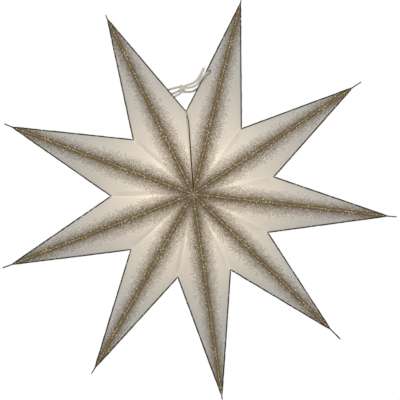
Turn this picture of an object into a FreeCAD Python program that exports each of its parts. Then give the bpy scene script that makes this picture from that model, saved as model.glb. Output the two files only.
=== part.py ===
import FreeCAD, Part

import math
import os
import re

import Sketcher

# A folding paper star lantern with nine points, hung open by a knotted cotton tie.
# Millimetres, +Z up. The origin is the lamp position at the centre of the star, on the
# axis that the points fan about, and -Y is the front.
#
# Each point is two folded sheets, front and back, glued together along their rims. A
# sheet has a ridge from its apex to its tip, and a valley edge from its apex to each
# notch beside it. Every sheet is glued to the next one by a flange under its left half,
# except at the seam between the last point and the first, which the tie closes.
# Paper is laid off along Y, so the halves of a sheet and its rims meet face to face.

Vector = FreeCAD.Vector
POINTS = range(1, 10)
LAST = 9
FRONT = Vector(0, -1, 0)
BACK = Vector(0, 1, 0)
SIDEWAYS = Vector(1, 0, 0)

SIZES = {
    "tip_radius": 301.0,  # from the centre to the end of every tail
    "notch_radius": 120.0,
    "seam_notch_radius": 124.0,  # the notch beside the seam, where no glue draws it in
    "half_depth": 54.0,  # from the centre to the inside of either apex
    "paper": 0.35,
    "rim_width": 1.6,
    "tail_width": 2.0,
    "flange_width": 6.0,
    "flange_from_apex": 24.0,
    "flange_from_notch": 5.0,
    "seam_flange_from_apex": 10.0,
    "seam_flange_from_notch": 7.0,
    "seam_flange_cover": 3.0,  # how far the loose flange reaches back across the seam
    "fold_clearance": 0.3,  # between the sheets of neighbouring points
    "seam_azimuth": -4.96,  # all azimuths are clockwise from +Z, seen from the front
    "seam_gap": 0.6,
    "string_diameter": 3.4,
    "hole_diameter": 5.4,
    "right_hole_from_notch": 67.0,
    "right_hole_from_rim": 3.6,
    "left_hole_from_notch": 52.0,
    "low_hole_from_notch": 43.0,
    "left_hole_from_rim": 8.0,
    "stopper_diameter": 7.4,
    "knot_width": 13.0,
    "knot_height": 15.0,
    "knot_thickness": 10.0,
    "knot_across": 16.3,  # from the centre of the star to the knot, to the left
    "knot_up": 158.8,
    "knot_back": 2.5,
}
# How far each point is opened on the left and on the right of its ridge, in degrees.
# The right of the last point takes what the others leave.
LEFT_HALVES = (18.4, 20.2, 19.1, 17.9, 18.5, 18.9, 20.1, 21.1, 21.1)
RIGHT_HALVES = (21.9, 21.1, 20.4, 19.1, 18.9, 19.4, 20.4, 22.2)
# How far each tail runs out past the paper's own tip.
TAILS = (9.0, 19.0, 17.0, 24.0, 9.0, 14.0, 18.0, 16.0, 11.0)

# The tie is one string. It goes through the rim of the right seam point and comes back
# to the knot, and behind the left one it goes in at one hole and out at another, with a
# knot inside that keeps it there. Each route runs from the knot outwards.
LEFT_LOOP = (
    (-21.6, 2.6, 162.4),
    (-29.0, 4.8, 161.2),
    (-36.6, 8.6, 159.6),
    (-43.2, 12.8, 158.8),
    (-48.2, 12.2, 158.5),
    (-51.2, 8.2, 158.4),
    (-50.8, 3.4, 157.6),
    (-49.0, 0.2, 156.2),
)
LEFT_RETURN = (
    (-22.0, 3.4, 156.6),
    (-27.6, 5.0, 154.0),
    (-33.0, 7.4, 152.6),
    (-38.0, 10.6, 152.0),
    (-42.6, 10.4, 151.6),
    (-45.4, 7.0, 151.5),
    (-46.0, 3.4, 152.2),
    (-47.6, 0.8, 153.6),
)
LEFT_TAIL = (
    (-19.8, 2.4, 152.6),
    (-25.6, 3.6, 149.6),
    (-31.2, 5.8, 146.8),
    (-37.0, 9.8, 143.6),
    (-42.4, 15.2, 140.0),
    (-46.6, 20.4, 137.2),
)
RIGHT_LOOP = (
    (-9.2, 0.6, 160.6),
    (-1.6, -1.2, 161.4),
    (5.0, -2.8, 164.4),
    (9.2, -3.9, 169.4),
    (13.2, -5.4, 174.8),
    (17.2, -7.2, 179.2),
    (20.6, -6.6, 181.8),
    (23.0, -3.0, 182.8),
    (23.2, 3.0, 182.4),
    (21.6, 7.2, 181.0),
    (18.2, 9.6, 176.6),
    (13.6, 9.2, 170.0),
    (6.2, 7.0, 160.6),
    (0.4, 5.8, 156.8),
    (-4.4, 4.8, 155.2),
    (-9.6, 3.8, 155.2),
)
RIGHT_TAIL = (
    (-10.0, 1.0, 164.8),
    (-3.4, -0.8, 166.0),
    (3.4, -2.4, 169.4),
    (8.2, -3.2, 174.6),
    (11.8, -3.4, 181.2),
    (15.4, -3.0, 189.0),
)

# Sketches start as regular polygons, well inside the positive quarter that they solve to.
SKETCH_CENTRE = 100.0
SKETCH_RADIUS = 50.0
ARC_SHARE = 0.45  # of the shorter run beside a corner, taken by its arc


def cell(sheet, row, name, value):
    sheet.set(f"A{row}", name)
    sheet.set(f"B{row}", value)
    sheet.setAlias(f"B{row}", name)


def make_sheet(doc):
    """The driving sizes, then the angles and true lengths that follow from them."""
    sheet = doc.addObject("Spreadsheet::Sheet", "Sizes")
    driving = dict(SIZES)
    driving.update({f"left_half_{k}": LEFT_HALVES[k - 1] for k in POINTS})
    driving.update({f"right_half_{k}": RIGHT_HALVES[k - 1] for k in POINTS if k < LAST})
    driving.update({f"tail_{k}": TAILS[k - 1] for k in POINTS})
    row = 0
    for name, value in driving.items():
        row += 1
        cell(sheet, row, name, repr(value))
    opened = " - ".join(f"left_half_{k} - right_half_{k}" for k in POINTS if k < LAST)
    follows = {f"right_half_{LAST}": f"=360 - seam_gap - {opened} - left_half_{LAST}"}
    for k in POINTS:
        before = f"azimuth_{k - 1} + right_half_{k - 1}" if k > 1 else "seam_azimuth + seam_gap / 2"
        follows[f"azimuth_{k}"] = f"={before} + left_half_{k}"
        follows[f"shift_{k}"] = f"=fold_clearance / 2 / sin((left_half_{k} + right_half_{k}) / 2)"
        follows[f"paper_tip_{k}"] = f"=tip_radius - shift_{k} - tail_{k}"
        follows[f"ridge_{k}"] = f"=sqrt(paper_tip_{k}^2 + half_depth^2)"
        follows[f"tilt_{k}"] = f"=atan(half_depth / paper_tip_{k}) / 1deg"
        for side in ("left", "right"):
            at_seam = (k, side) in ((1, "left"), (LAST, "right"))
            follows.update(half_sizes(k, side, "seam_notch_radius" if at_seam else "notch_radius"))
    for name, formula in follows.items():
        row += 1
        cell(sheet, row, name, formula)
    doc.recompute()
    return sheet


def half_sizes(k, side, radius):
    """The sizes of one half: its notch, its flat outline, its roll and the way its rim runs."""
    notch_x = f"{side}_notch_x_{k}"
    notch_z = f"{side}_notch_z_{k}"
    inward = f"half_depth * (paper_tip_{k} - {notch_z}) / ridge_{k}"
    return {
        notch_x: f"={radius} * sin({side}_half_{k})",
        notch_z: f"={radius} * cos({side}_half_{k})",
        f"{side}_along_{k}": f"=(half_depth^2 + paper_tip_{k} * {notch_z}) / ridge_{k}",
        f"{side}_across_{k}": f"=sqrt({notch_x}^2 + ({inward})^2)",
        f"{side}_valley_{k}": f"=sqrt({radius}^2 + half_depth^2)",
        f"{side}_roll_{k}": f"=atan({inward} / {notch_x}) / 1deg",
        f"{side}_rim_{k}": f"=sqrt({notch_x}^2 + (paper_tip_{k} - {notch_z})^2)",
        f"{side}_rim_x_{k}": f"={notch_x} / {side}_rim_{k}",
        f"{side}_rim_z_{k}": f"=(paper_tip_{k} - {notch_z}) / {side}_rim_{k}",
    }


def named(expression, k, side="right"):
    """An expression with # as the point's number and @ as the side, for the sheet's sizes."""
    of_a_half = r"(?:left|right)_(?:half|notch_x|notch_z|along|across|valley|roll|rim_x|rim_z)_\d"
    of_a_point = r"(?:azimuth|shift|paper_tip|tail|ridge|tilt)_\d"
    size = rf"\b({of_a_half}|{of_a_point}|{'|'.join(SIZES)})\b"
    return re.sub(size, r"Sizes.\1", expression.replace("#", str(k)).replace("@", side))


def sketch_start(angle):
    across = SKETCH_CENTRE + SKETCH_RADIUS * math.cos(angle)
    up = SKETCH_CENTRE + SKETCH_RADIUS * math.sin(angle)
    return Vector(across, up, 0)


def polygon(doc, name, corners, k, side, placement):
    """A closed sketch through corners, each of them two expressions, all positive."""
    sketch = doc.addObject("Sketcher::SketchObject", name)
    count = len(corners)
    for n in range(count):
        angle = 2 * math.pi * n / count
        following = 2 * math.pi * (n + 1) / count
        sketch.addGeometry(Part.LineSegment(sketch_start(angle), sketch_start(following)))
    for n in range(count):
        sketch.addConstraint(Sketcher.Constraint("Coincident", n, 2, (n + 1) % count, 1))
    for n, corner in enumerate(corners):
        for kind, size in zip(("DistanceX", "DistanceY"), corner):
            if size == "0":
                on_axis = -2 if kind == "DistanceX" else -1
                sketch.addConstraint(Sketcher.Constraint("PointOnObject", n, 1, on_axis))
                continue
            at = sketch.addConstraint(Sketcher.Constraint(kind, -1, 1, n, 1, SKETCH_CENTRE))
            label = f"{kind}_{n}"
            sketch.renameConstraint(at, label)
            sketch.setExpression(f"Constraints.{label}", named(size, k, side))
    sketch.setExpression("Placement", named(placement, k, side))
    return sketch


def laid_off(doc, name, sketch, way):
    """A sketch's face given the paper's thickness along Y."""
    solid = doc.addObject("Part::Extrusion", name)
    solid.Base = sketch
    solid.DirMode = "Custom"
    solid.Dir = way
    solid.Solid = True
    solid.setExpression("LengthFwd", "Sizes.paper")
    return solid


def mirrored(doc, name, source, across):
    twin = doc.addObject("Part::Mirroring", name)
    twin.Source = source
    twin.Normal = across
    return twin


# In a point's own frame the ridge rises along +Z from the apex, and the right half of
# the front sheet lies in this plane, with the sketch's x axis along the ridge. A left
# half is drawn as a right one with the left half's sizes, and mirrored.
HALF_PLANE = (
    "placement(vector(0; -1 * half_depth; 0); "
    "rotation(vector(1; 0; 0); -1 * tilt_#) * rotation(vector(1; 1; 1); 240) * "
    "rotation(vector(1; 0; 0); @_roll_#))"
)
# The plane of the rims, with the sketch's y axis upwards.
RIM_PLANE = "placement(vector(0; 0; 0); rotation(vector(1; 0; 0); 90))"
POINT_PLACE = (
    "placement(vector(shift_# * sin(azimuth_#); 0; shift_# * cos(azimuth_#)); "
    "rotation(vector(0; 1; 0); azimuth_#))"
)


# The loose flange under the first sheet stands clear of it.
SEAM_PLACE = POINT_PLACE.replace("; 0; shift_#", "; fold_clearance; shift_#")

# Where the tie goes through a point beside its rim. FROM_NOTCH and FROM_RIM are sizes.
HOLE_ACROSS = "( @_notch_x_# - FROM_NOTCH * @_rim_x_# - FROM_RIM * @_rim_z_# )"
HOLE_UP = "( @_notch_z_# + FROM_NOTCH * @_rim_z_# - FROM_RIM * @_rim_x_# )"


def half_sheet(doc, k, side):
    """One flat half of a front sheet, on the right of its ridge."""
    corners = (
        ("0", "0"),
        ("ridge_#", "0"),
        ("@_along_#", "@_across_#"),
    )
    sketch = polygon(doc, f"{side}_outline_{k}", corners, k, side, HALF_PLANE)
    return laid_off(doc, f"{side}_part_{k}", sketch, FRONT)


def half_rim(doc, k, side):
    """The glued rim of one half, with its half of the tail, on the right."""
    out = "rim_width / ( @_notch_x_# * @_rim_z_# + @_notch_z_# * @_rim_x_# )"
    joint = "paper_tip_# + ( rim_width - tail_width / 2 * @_rim_z_# ) / @_rim_x_#"
    corners = (
        ("0", "paper_tip_#"),
        ("@_notch_x_#", "@_notch_z_#"),
        (f"@_notch_x_# + {out} * @_notch_x_#", f"@_notch_z_# + {out} * @_notch_z_#"),
        ("tail_width / 2", joint),
        ("tail_width / 2", "paper_tip_# + tail_#"),
        ("0", "paper_tip_# + tail_#"),
    )
    sketch = polygon(doc, f"{side}_rim_outline_{k}", corners, k, side, RIM_PLANE)
    return laid_off(doc, f"{side}_rim_part_{k}", sketch, FRONT)


def folded_sheet(doc, k):
    """A front sheet: both halves and both rims, in one piece of paper."""
    right_half = half_sheet(doc, k, "right")
    right_rim = half_rim(doc, k, "right")
    left_half = mirrored(doc, f"left_turned_{k}", half_sheet(doc, k, "left"), SIDEWAYS)
    left_rim = mirrored(doc, f"left_rim_turned_{k}", half_rim(doc, k, "left"), SIDEWAYS)
    sheet = doc.addObject("Part::MultiFuse", f"folded_{k}")
    sheet.Shapes = [right_half, left_half, right_rim, left_rim]
    sheet.setExpression("Placement", named(POINT_PLACE, k))
    return sheet


def hole_at(which, from_notch, from_rim):
    """One coordinate of a hole's centre, as an expression in two of the sizes."""
    return which.replace("FROM_NOTCH", from_notch).replace("FROM_RIM", from_rim)


def string_hole(doc, name, k, side, from_notch, from_rim):
    """The cutter of a hole that the tie goes through."""
    sign = 1 if side == "right" else -1
    across = hole_at(HOLE_ACROSS, from_notch, from_rim)
    up = hole_at(HOLE_UP, from_notch, from_rim)
    place = (
        f"{POINT_PLACE} * placement(vector({sign} * {across}; -1 * half_depth; {up}); "
        "rotation(vector(1; 0; 0); -90))"
    )
    cutter = doc.addObject("Part::Cylinder", name)
    cutter.setExpression("Radius", "Sizes.hole_diameter / 2")
    cutter.setExpression("Height", "2 * Sizes.half_depth")
    cutter.setExpression("Placement", named(place, k, side))
    return cutter


def punched(doc, name, sheet, cutter):
    result = doc.addObject("Part::Cut", name)
    result.Base = sheet
    result.Tool = cutter
    return result


def flange(doc, name, k, first, last, cover, place):
    """A flange of the sheet before, under the left half of sheet k.

    It runs along the valley edge from the distance called first from the apex to the one
    called last from the notch, and reaches back past that edge by the one called cover.
    """
    unit_x = "@_along_# / @_valley_#"
    unit_y = "@_across_# / @_valley_#"
    far = f"( @_valley_# - {last} )"
    corners = (
        (f"{first} * {unit_x} - {cover} * {unit_y}", f"{first} * {unit_y} + {cover} * {unit_x}"),
        (f"{far} * {unit_x} - {cover} * {unit_y}", f"{far} * {unit_y} + {cover} * {unit_x}"),
        (
            f"( {far} - flange_width ) * {unit_x} + flange_width * {unit_y}",
            f"( {far} - flange_width ) * {unit_y} - flange_width * {unit_x}",
        ),
        (
            f"( {first} + flange_width ) * {unit_x} + flange_width * {unit_y}",
            f"( {first} + flange_width ) * {unit_y} - flange_width * {unit_x}",
        ),
    )
    sketch = polygon(doc, f"{name}_outline", corners, k, "left", HALF_PLANE)
    right = laid_off(doc, f"{name}_part", sketch, BACK)
    turned = mirrored(doc, name, right, SIDEWAYS)
    turned.setExpression("Placement", named(place, k))
    return turned


def run_lengths(points):
    return [(b - a).Length for a, b in zip(points, points[1:])]


def tube(doc, name, route, diameter):
    """A string along straight runs joined by arcs as large as the runs allow."""
    points = [Vector(*point) for point in route]
    runs = run_lengths(points)
    edges = []
    start = points[0]
    radii = []
    for n in range(1, len(points) - 1):
        back = (points[n - 1] - points[n]).normalize()
        ahead = (points[n + 1] - points[n]).normalize()
        trim = ARC_SHARE * min(runs[n - 1], runs[n])
        half_turn = (math.pi - back.getAngle(ahead)) / 2
        radii.append(trim / math.tan(half_turn))
        enter = points[n] + back * trim
        leave = points[n] + ahead * trim
        centre_way = (back + ahead).normalize()
        to_middle = radii[-1] / math.cos(half_turn) - radii[-1]
        edges.append(Part.LineSegment(start, enter).toShape())
        edges.append(Part.Arc(enter, points[n] + centre_way * to_middle, leave).toShape())
        start = leave
    edges.append(Part.LineSegment(start, points[-1]).toShape())
    path = Part.Wire(edges)
    way = points[1] - points[0]
    ring = Part.Wire([Part.Circle(points[0], way, diameter / 2).toShape()])
    solid = path.makePipeShell([ring], True, False)
    expected = math.pi * diameter**2 / 4 * path.Length
    print(f"{name}: {path.Length:.1f} mm, radii {[round(r, 1) for r in radii]}, "
          f"volume share {solid.Volume / expected:.4f}")
    feature = doc.addObject("Part::Feature", name)
    feature.Shape = solid
    return feature


def reef_knot(doc):
    """The body of the knot, a flattened egg that the four strands come out of."""
    knot = doc.addObject("Part::Ellipsoid", "reef_knot")
    knot.setExpression("Radius1", "Sizes.knot_height / 2")
    knot.setExpression("Radius2", "Sizes.knot_width / 2")
    knot.setExpression("Radius3", "Sizes.knot_thickness / 2")
    knot.setExpression("Placement.Base.x", "-1 * Sizes.knot_across")
    knot.setExpression("Placement.Base.y", "Sizes.knot_back")
    knot.setExpression("Placement.Base.z", "Sizes.knot_up")
    return knot


def stopper_knot(doc):
    """The knot inside the left point, midway between the two holes of the tie."""
    middle = "( left_hole_from_notch + low_hole_from_notch ) / 2"
    across = hole_at(HOLE_ACROSS, middle, "left_hole_from_rim")
    up = hole_at(HOLE_UP, middle, "left_hole_from_rim")
    centre = f"{POINT_PLACE} * vector({across}; 0; {up})"
    knot = doc.addObject("Part::Sphere", "stopper_knot")
    knot.setExpression("Radius", "Sizes.stopper_diameter / 2")
    knot.setExpression("Placement.Base", named(centre, LAST, "right"))
    return knot


def build(doc):
    sheet = make_sheet(doc)
    pieces = {}
    for k in POINTS:
        pieces[f"front_sheet_{k}"] = folded_sheet(doc, k)
    right_hole = string_hole(
        doc, "right_hole", 1, "left", "right_hole_from_notch", "right_hole_from_rim"
    )
    pieces["front_sheet_1"] = punched(doc, "punched_front_1", pieces["front_sheet_1"], right_hole)
    for k in POINTS:
        pieces[f"back_sheet_{k}"] = mirrored(doc, f"back_{k}", pieces[f"front_sheet_{k}"], BACK)
    last_back = pieces[f"back_sheet_{LAST}"]
    for name in ("left_hole", "low_hole"):
        cutter = string_hole(doc, name, LAST, "right", f"{name}_from_notch", "left_hole_from_rim")
        last_back = punched(doc, f"punched_by_{name}", last_back, cutter)
    pieces[f"back_sheet_{LAST}"] = last_back
    for k in POINTS:
        if k == 1:
            name = "seam_flange"
            reach = ("seam_flange_from_apex", "seam_flange_from_notch", "seam_flange_cover")
            front = flange(doc, name, k, *reach, SEAM_PLACE)
            names = ("seam_flange_front", "seam_flange_back")
        else:
            name = f"flange_{k - 1}"
            reach = ("flange_from_apex", "flange_from_notch", "0")
            front = flange(doc, name, k, *reach, POINT_PLACE)
            names = (f"glue_flange_front_{k - 1}", f"glue_flange_back_{k - 1}")
        pieces[names[0]] = front
        pieces[names[1]] = mirrored(doc, f"back_flange_{k}", front, BACK)
    string = sheet.get("string_diameter")
    pieces["tie_left_loop"] = tube(doc, "tie_left_loop", LEFT_LOOP, string)
    pieces["tie_left_return"] = tube(doc, "tie_left_return", LEFT_RETURN, string)
    pieces["tie_left_tail"] = tube(doc, "tie_left_tail", LEFT_TAIL, string)
    pieces["tie_right_loop"] = tube(doc, "tie_right_loop", RIGHT_LOOP, string)
    pieces["tie_right_tail"] = tube(doc, "tie_right_tail", RIGHT_TAIL, string)
    pieces["reef_knot"] = reef_knot(doc)
    pieces["stopper_knot"] = stopper_knot(doc)
    doc.recompute()
    return pieces


def check(doc, pieces):
    for thing in doc.Objects:
        if any(word in thing.State for word in ("Invalid", "Error")):
            raise RuntimeError(f"{thing.Name} is {thing.State}")
    for name, piece in pieces.items():
        if piece.Shape.isNull() or not piece.Shape.isValid() or not piece.Shape.Solids:
            raise RuntimeError(f"{name} has no valid shape")


def export(pieces):
    os.makedirs("parts", exist_ok=True)
    for name, piece in pieces.items():
        piece.Label = name
        piece.Shape.exportStep(os.path.join("parts", f"{name}.step"))


document = FreeCAD.newDocument("paper_star")
sub_parts = build(document)
check(document, sub_parts)
export(sub_parts)
for label, part in sub_parts.items():
    box = part.Shape.BoundBox
    print(f"{label}: {len(part.Shape.Solids)} solid, {part.Shape.Volume:.1f} mm3, "
          f"y {box.YMin:.2f} to {box.YMax:.2f}")
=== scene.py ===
import math

import bmesh
import bpy
import numpy as np
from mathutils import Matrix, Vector


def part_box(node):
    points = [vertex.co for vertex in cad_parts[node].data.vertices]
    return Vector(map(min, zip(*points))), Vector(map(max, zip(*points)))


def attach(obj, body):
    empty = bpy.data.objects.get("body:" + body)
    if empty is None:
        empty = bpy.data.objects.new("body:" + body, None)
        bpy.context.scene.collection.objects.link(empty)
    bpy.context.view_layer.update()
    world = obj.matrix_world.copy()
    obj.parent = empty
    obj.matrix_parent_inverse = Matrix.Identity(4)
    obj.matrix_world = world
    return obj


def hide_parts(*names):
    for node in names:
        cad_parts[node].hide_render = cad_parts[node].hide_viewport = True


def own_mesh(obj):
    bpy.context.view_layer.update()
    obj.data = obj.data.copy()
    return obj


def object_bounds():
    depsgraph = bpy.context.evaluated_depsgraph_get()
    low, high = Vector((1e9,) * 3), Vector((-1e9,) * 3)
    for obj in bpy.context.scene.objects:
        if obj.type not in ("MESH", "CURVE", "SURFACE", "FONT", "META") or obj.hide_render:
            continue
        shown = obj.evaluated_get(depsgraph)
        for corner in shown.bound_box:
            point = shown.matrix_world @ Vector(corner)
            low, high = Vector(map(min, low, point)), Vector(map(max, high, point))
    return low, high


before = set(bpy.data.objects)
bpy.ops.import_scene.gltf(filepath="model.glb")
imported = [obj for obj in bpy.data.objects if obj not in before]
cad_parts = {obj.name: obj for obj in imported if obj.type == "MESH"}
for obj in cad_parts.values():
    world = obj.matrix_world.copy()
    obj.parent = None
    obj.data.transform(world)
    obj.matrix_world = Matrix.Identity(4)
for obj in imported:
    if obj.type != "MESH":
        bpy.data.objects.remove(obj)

cad_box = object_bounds()

# A folding paper star lantern with nine points. Metres, +Z up, front towards -Y. The
# origin is the lamp position at the star's centre.

MM = 0.001
POINTS = range(1, 10)
LAST = 9
SIDES = (1, -1)  # a point's right half and its left one


def new_object(name, data):
    made = bpy.data.objects.new(name, data)
    bpy.context.scene.collection.objects.link(made)
    return made


# ---------------- camera

LENS = 63.9
CAMERA_DISTANCE = 1.05
CAMERA_AZIMUTH = math.radians(0.5)
CAMERA_ELEVATION = math.radians(-2.4)
CAMERA_SHIFT = (0.0164, -0.011)

camera_data = bpy.data.cameras.new("camera")
camera_data.lens = LENS
camera_data.shift_x, camera_data.shift_y = CAMERA_SHIFT
camera = new_object("camera", camera_data)
toward_camera = Vector((
    math.sin(CAMERA_AZIMUTH) * math.cos(CAMERA_ELEVATION),
    -math.cos(CAMERA_AZIMUTH) * math.cos(CAMERA_ELEVATION),
    math.sin(CAMERA_ELEVATION),
))
camera.location = toward_camera * CAMERA_DISTANCE
camera.rotation_mode = "QUATERNION"
camera.rotation_quaternion = (-toward_camera).to_track_quat("-Z", "Y")
bpy.context.scene.camera = camera


# ---------------- mesh helpers

# A sheet's three materials, by their numbers.
PRINTED = 0
PLAIN = 1
RIM = 2


def add_object(name, vertices, faces, smooth_angle=math.radians(35)):
    mesh = bpy.data.meshes.new(name)
    mesh.from_pydata([tuple(v) for v in vertices], [], [tuple(f) for f in faces])
    mesh.validate()
    mesh.shade_smooth()
    mesh.set_sharp_from_angle(angle=smooth_angle)
    return new_object(name, mesh)


def face_outwards(mesh):
    """Turns every face of a closed mesh so that it looks outwards."""
    working = bmesh.new()
    working.from_mesh(mesh)
    bmesh.ops.recalc_face_normals(working, faces=working.faces)
    working.to_mesh(mesh)
    working.free()


def store_vectors(mesh, name, vectors):
    """Keeps one vector for each vertex, where a material can read it."""
    stored = mesh.attributes.new(name, "FLOAT_VECTOR", "POINT")
    stored.data.foreach_set("vector", np.array(vectors, np.float32).ravel())


def tube_faces(first, rings, around):
    """The faces of a closed tube, whose rings of vertices follow each other from first."""
    last = first + (rings - 1) * around
    faces = []
    for low in range(first, last, around):
        for a in range(around):
            b = (a + 1) % around
            faces.append((low + a, low + b, low + around + b, low + around + a))
    faces.append(tuple(first + a for a in reversed(range(around))))
    faces.append(tuple(last + a for a in range(around)))
    return faces


def smoothstep(value):
    value = np.clip(value, 0.0, 1.0)
    return value * value * (3.0 - 2.0 * value)


def unit(vector):
    return np.asarray(vector, float) / np.linalg.norm(vector)


def thickened(vertices, faces, marks, offset):
    """A closed sheet from a surface: the outer face, the inner one and the cut edges.

    marks holds one material number for each face. The inner faces and the cut edges of
    printed paper are plain, and a rim is the same all through.
    """
    count = len(vertices)
    outer = [tuple(v) for v in vertices]
    inner = [tuple(np.asarray(v) + offset) for v in vertices]
    borders = {}
    for face, mark in zip(faces, marks):
        for start, end in zip(face, face[1:] + face[:1]):
            if (end, start) in borders:
                del borders[(end, start)]
            else:
                borders[(start, end)] = mark
    all_faces = [list(f) for f in faces]
    all_marks = list(marks)
    for face, mark in zip(faces, marks):
        all_faces.append([v + count for v in reversed(face)])
        all_marks.append(mark if mark == RIM else PLAIN)
    for (start, end), mark in borders.items():
        all_faces.append([end, start, start + count, end + count])
        all_marks.append(mark if mark == RIM else PLAIN)
    return outer + inner, all_faces, all_marks


# ---------------- the tie's routes

LEFT_LOOP = (
    (-21.6, 2.6, 162.4), (-29.0, 4.8, 161.2), (-36.6, 8.6, 159.6), (-43.2, 12.8, 158.8),
    (-48.2, 12.2, 158.5), (-51.2, 8.2, 158.4), (-50.8, 3.4, 157.6), (-49.0, 0.2, 156.2),
)
LEFT_RETURN = (
    (-22.0, 3.4, 156.6), (-27.6, 5.0, 154.0), (-33.0, 7.4, 152.6), (-38.0, 10.6, 152.0),
    (-42.6, 10.4, 151.6), (-45.4, 7.0, 151.5), (-46.0, 3.4, 152.2), (-47.6, 0.8, 153.6),
)
LEFT_TAIL = (
    (-19.8, 2.4, 152.6), (-25.6, 3.6, 149.6), (-31.2, 5.8, 146.8), (-37.0, 9.8, 143.6),
    (-42.4, 15.2, 140.0), (-46.6, 20.4, 137.2),
)
RIGHT_LOOP = (
    (-9.2, 0.6, 160.6), (-1.6, -1.2, 161.4), (5.0, -2.8, 164.4), (9.2, -3.9, 169.4),
    (13.2, -5.4, 174.8), (17.2, -7.2, 179.2), (20.6, -6.6, 181.8), (23.0, -3.0, 182.8),
    (23.2, 3.0, 182.4), (21.6, 7.2, 181.0), (18.2, 9.6, 176.6), (13.6, 9.2, 170.0),
    (6.2, 7.0, 160.6), (0.4, 5.8, 156.8), (-4.4, 4.8, 155.2), (-9.6, 3.8, 155.2),
)
RIGHT_TAIL = (
    (-10.0, 1.0, 164.8), (-3.4, -0.8, 166.0), (3.4, -2.4, 169.4), (8.2, -3.2, 174.6),
    (11.8, -3.4, 181.2), (15.4, -3.0, 189.0),
)
STRING = 3.4 * MM
HOLE = 5.4 * MM
# Where the tie goes through: across and up.
FIRST_HOLE = (23.07 * MM, 182.41 * MM)
LAST_HOLE = (-51.18 * MM, 158.46 * MM)
LOW_HOLE = (-45.38 * MM, 151.58 * MM)


def centreline(route):
    """Points close together along the smooth line that a route's points control."""
    curve = bpy.data.curves.new("route", "CURVE")
    curve.dimensions = "3D"
    curve.resolution_u = 12
    spline = curve.splines.new("NURBS")
    spline.points.add(len(route) - 1)
    for point, place in zip(spline.points, route):
        point.co = (place[0] * MM, place[1] * MM, place[2] * MM, 1.0)
    spline.order_u = 3
    spline.use_endpoint_u = True
    holder = new_object("route", curve)
    bpy.context.view_layer.update()
    mesh = bpy.data.meshes.new_from_object(holder)
    points = np.array([v.co for v in mesh.vertices], float)
    bpy.data.objects.remove(holder)
    bpy.data.curves.remove(curve)
    bpy.data.meshes.remove(mesh)
    return points


def lengths_along(points):
    """How far along the line each of its points is."""
    steps = np.linalg.norm(np.diff(points, axis=0), axis=1)
    return np.concatenate([[0.0], np.cumsum(steps)])


def evenly(points, spacing):
    """The same line with its points at even distances."""
    at = lengths_along(points)
    count = max(4, int(round(at[-1] / spacing)))
    wanted = np.linspace(0.0, at[-1], count + 1)
    return np.stack([np.interp(wanted, at, points[:, k]) for k in range(3)], axis=1)


NOT_ALONG = (0.3, 0.2, 1.0)  # a direction that no string starts in


def frames_along(points):
    """A pair of directions across a line at each of its points, with no twist of their own."""
    ahead = np.gradient(points, axis=0)
    ahead /= np.linalg.norm(ahead, axis=1)[:, None]
    across = np.cross(ahead[0], NOT_ALONG)
    pairs = []
    for way in ahead:
        across = across - way * np.dot(across, way)
        across /= np.linalg.norm(across)
        pairs.append((across.copy(), np.cross(way, across)))
    return pairs


PLIES = 3
AROUND = 24
PLY_TWIST = 11.5 * MM  # the length of string in which its plies turn once
PLY_DEPTH = 0.16
RING_SPACING = 0.45 * MM
SWELLS = 14
THINNEST = 0.95
THICKEST = 1.03
SQUEEZED = 0.35  # the share of the string's width that is left at a buried end
LOOSE_END = 1.3  # the right tail's twist opens towards its cut end
STRING_SHARP = math.radians(75)


def twisted(name, points, diameter, seed, loosened=1.0, buried=False):
    """A string of three twisted plies along a line, as one closed mesh.

    loosened is how many times as thick it gets towards its last end, and an end that is
    buried in a knot is squeezed thin.
    """
    points = evenly(points, RING_SPACING)
    pairs = frames_along(points)
    draw = np.random.default_rng(seed)
    length = lengths_along(points)
    swollen = draw.uniform(THINNEST, THICKEST, SWELLS)
    swell = np.interp(length, np.linspace(0, length[-1], SWELLS), swollen)
    angles = np.arange(AROUND) * 2 * math.pi / AROUND
    vertices = []
    along = []
    for n, (point, (right, up)) in enumerate(zip(points, pairs)):
        turn = 2 * math.pi * length[n] / PLY_TWIST
        lobe = 1.0 - PLY_DEPTH * (1.0 - np.abs(np.cos((angles - turn) * PLIES / 2)))
        radius = diameter / 2 * swell[n] * lobe
        opened = smoothstep(1.6 * length[n] / length[-1] - 0.2)  # from an eighth of the way on
        radius = radius * (1.0 + (loosened - 1.0) * opened)
        if buried:
            from_end = (length[-1] - length[n]) / diameter
            radius = radius * (SQUEEZED + (1.0 - SQUEEZED) * smoothstep(from_end))
        for angle, size in zip(angles, radius):
            vertices.append(point + size * (math.cos(angle) * right + math.sin(angle) * up))
            along.append((length[n], (angle - turn) / (2 * math.pi), 0.0))
    made = add_object(name, vertices, tube_faces(0, len(points), AROUND), STRING_SHARP)
    store_vectors(made.data, "on_string", along)
    return made, points


ROUTES = {
    "left_loop": LEFT_LOOP,
    "left_tail": LEFT_TAIL,
    "right_loop": RIGHT_LOOP,
    "right_tail": RIGHT_TAIL,
    "left_return": LEFT_RETURN,
}
FIRST_STRING_SEED = 11
tie = {}
paths = {}
for seed, (name, route) in enumerate(ROUTES.items(), FIRST_STRING_SEED):
    loosened = LOOSE_END if name == "right_tail" else 1.0
    tie[name], paths[name] = twisted(f"string_{name}", centreline(route), STRING, seed, loosened)


FIBRES = 26
FIBRE_SIDES = 5
FIBRE_RINGS = 6
FIBRE_RADIUS = 0.11 * MM
FIBRE_ROOT = 0.5 * MM  # how far inside the string a fibre starts
FIBRE_SHARP = math.radians(60)


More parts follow.
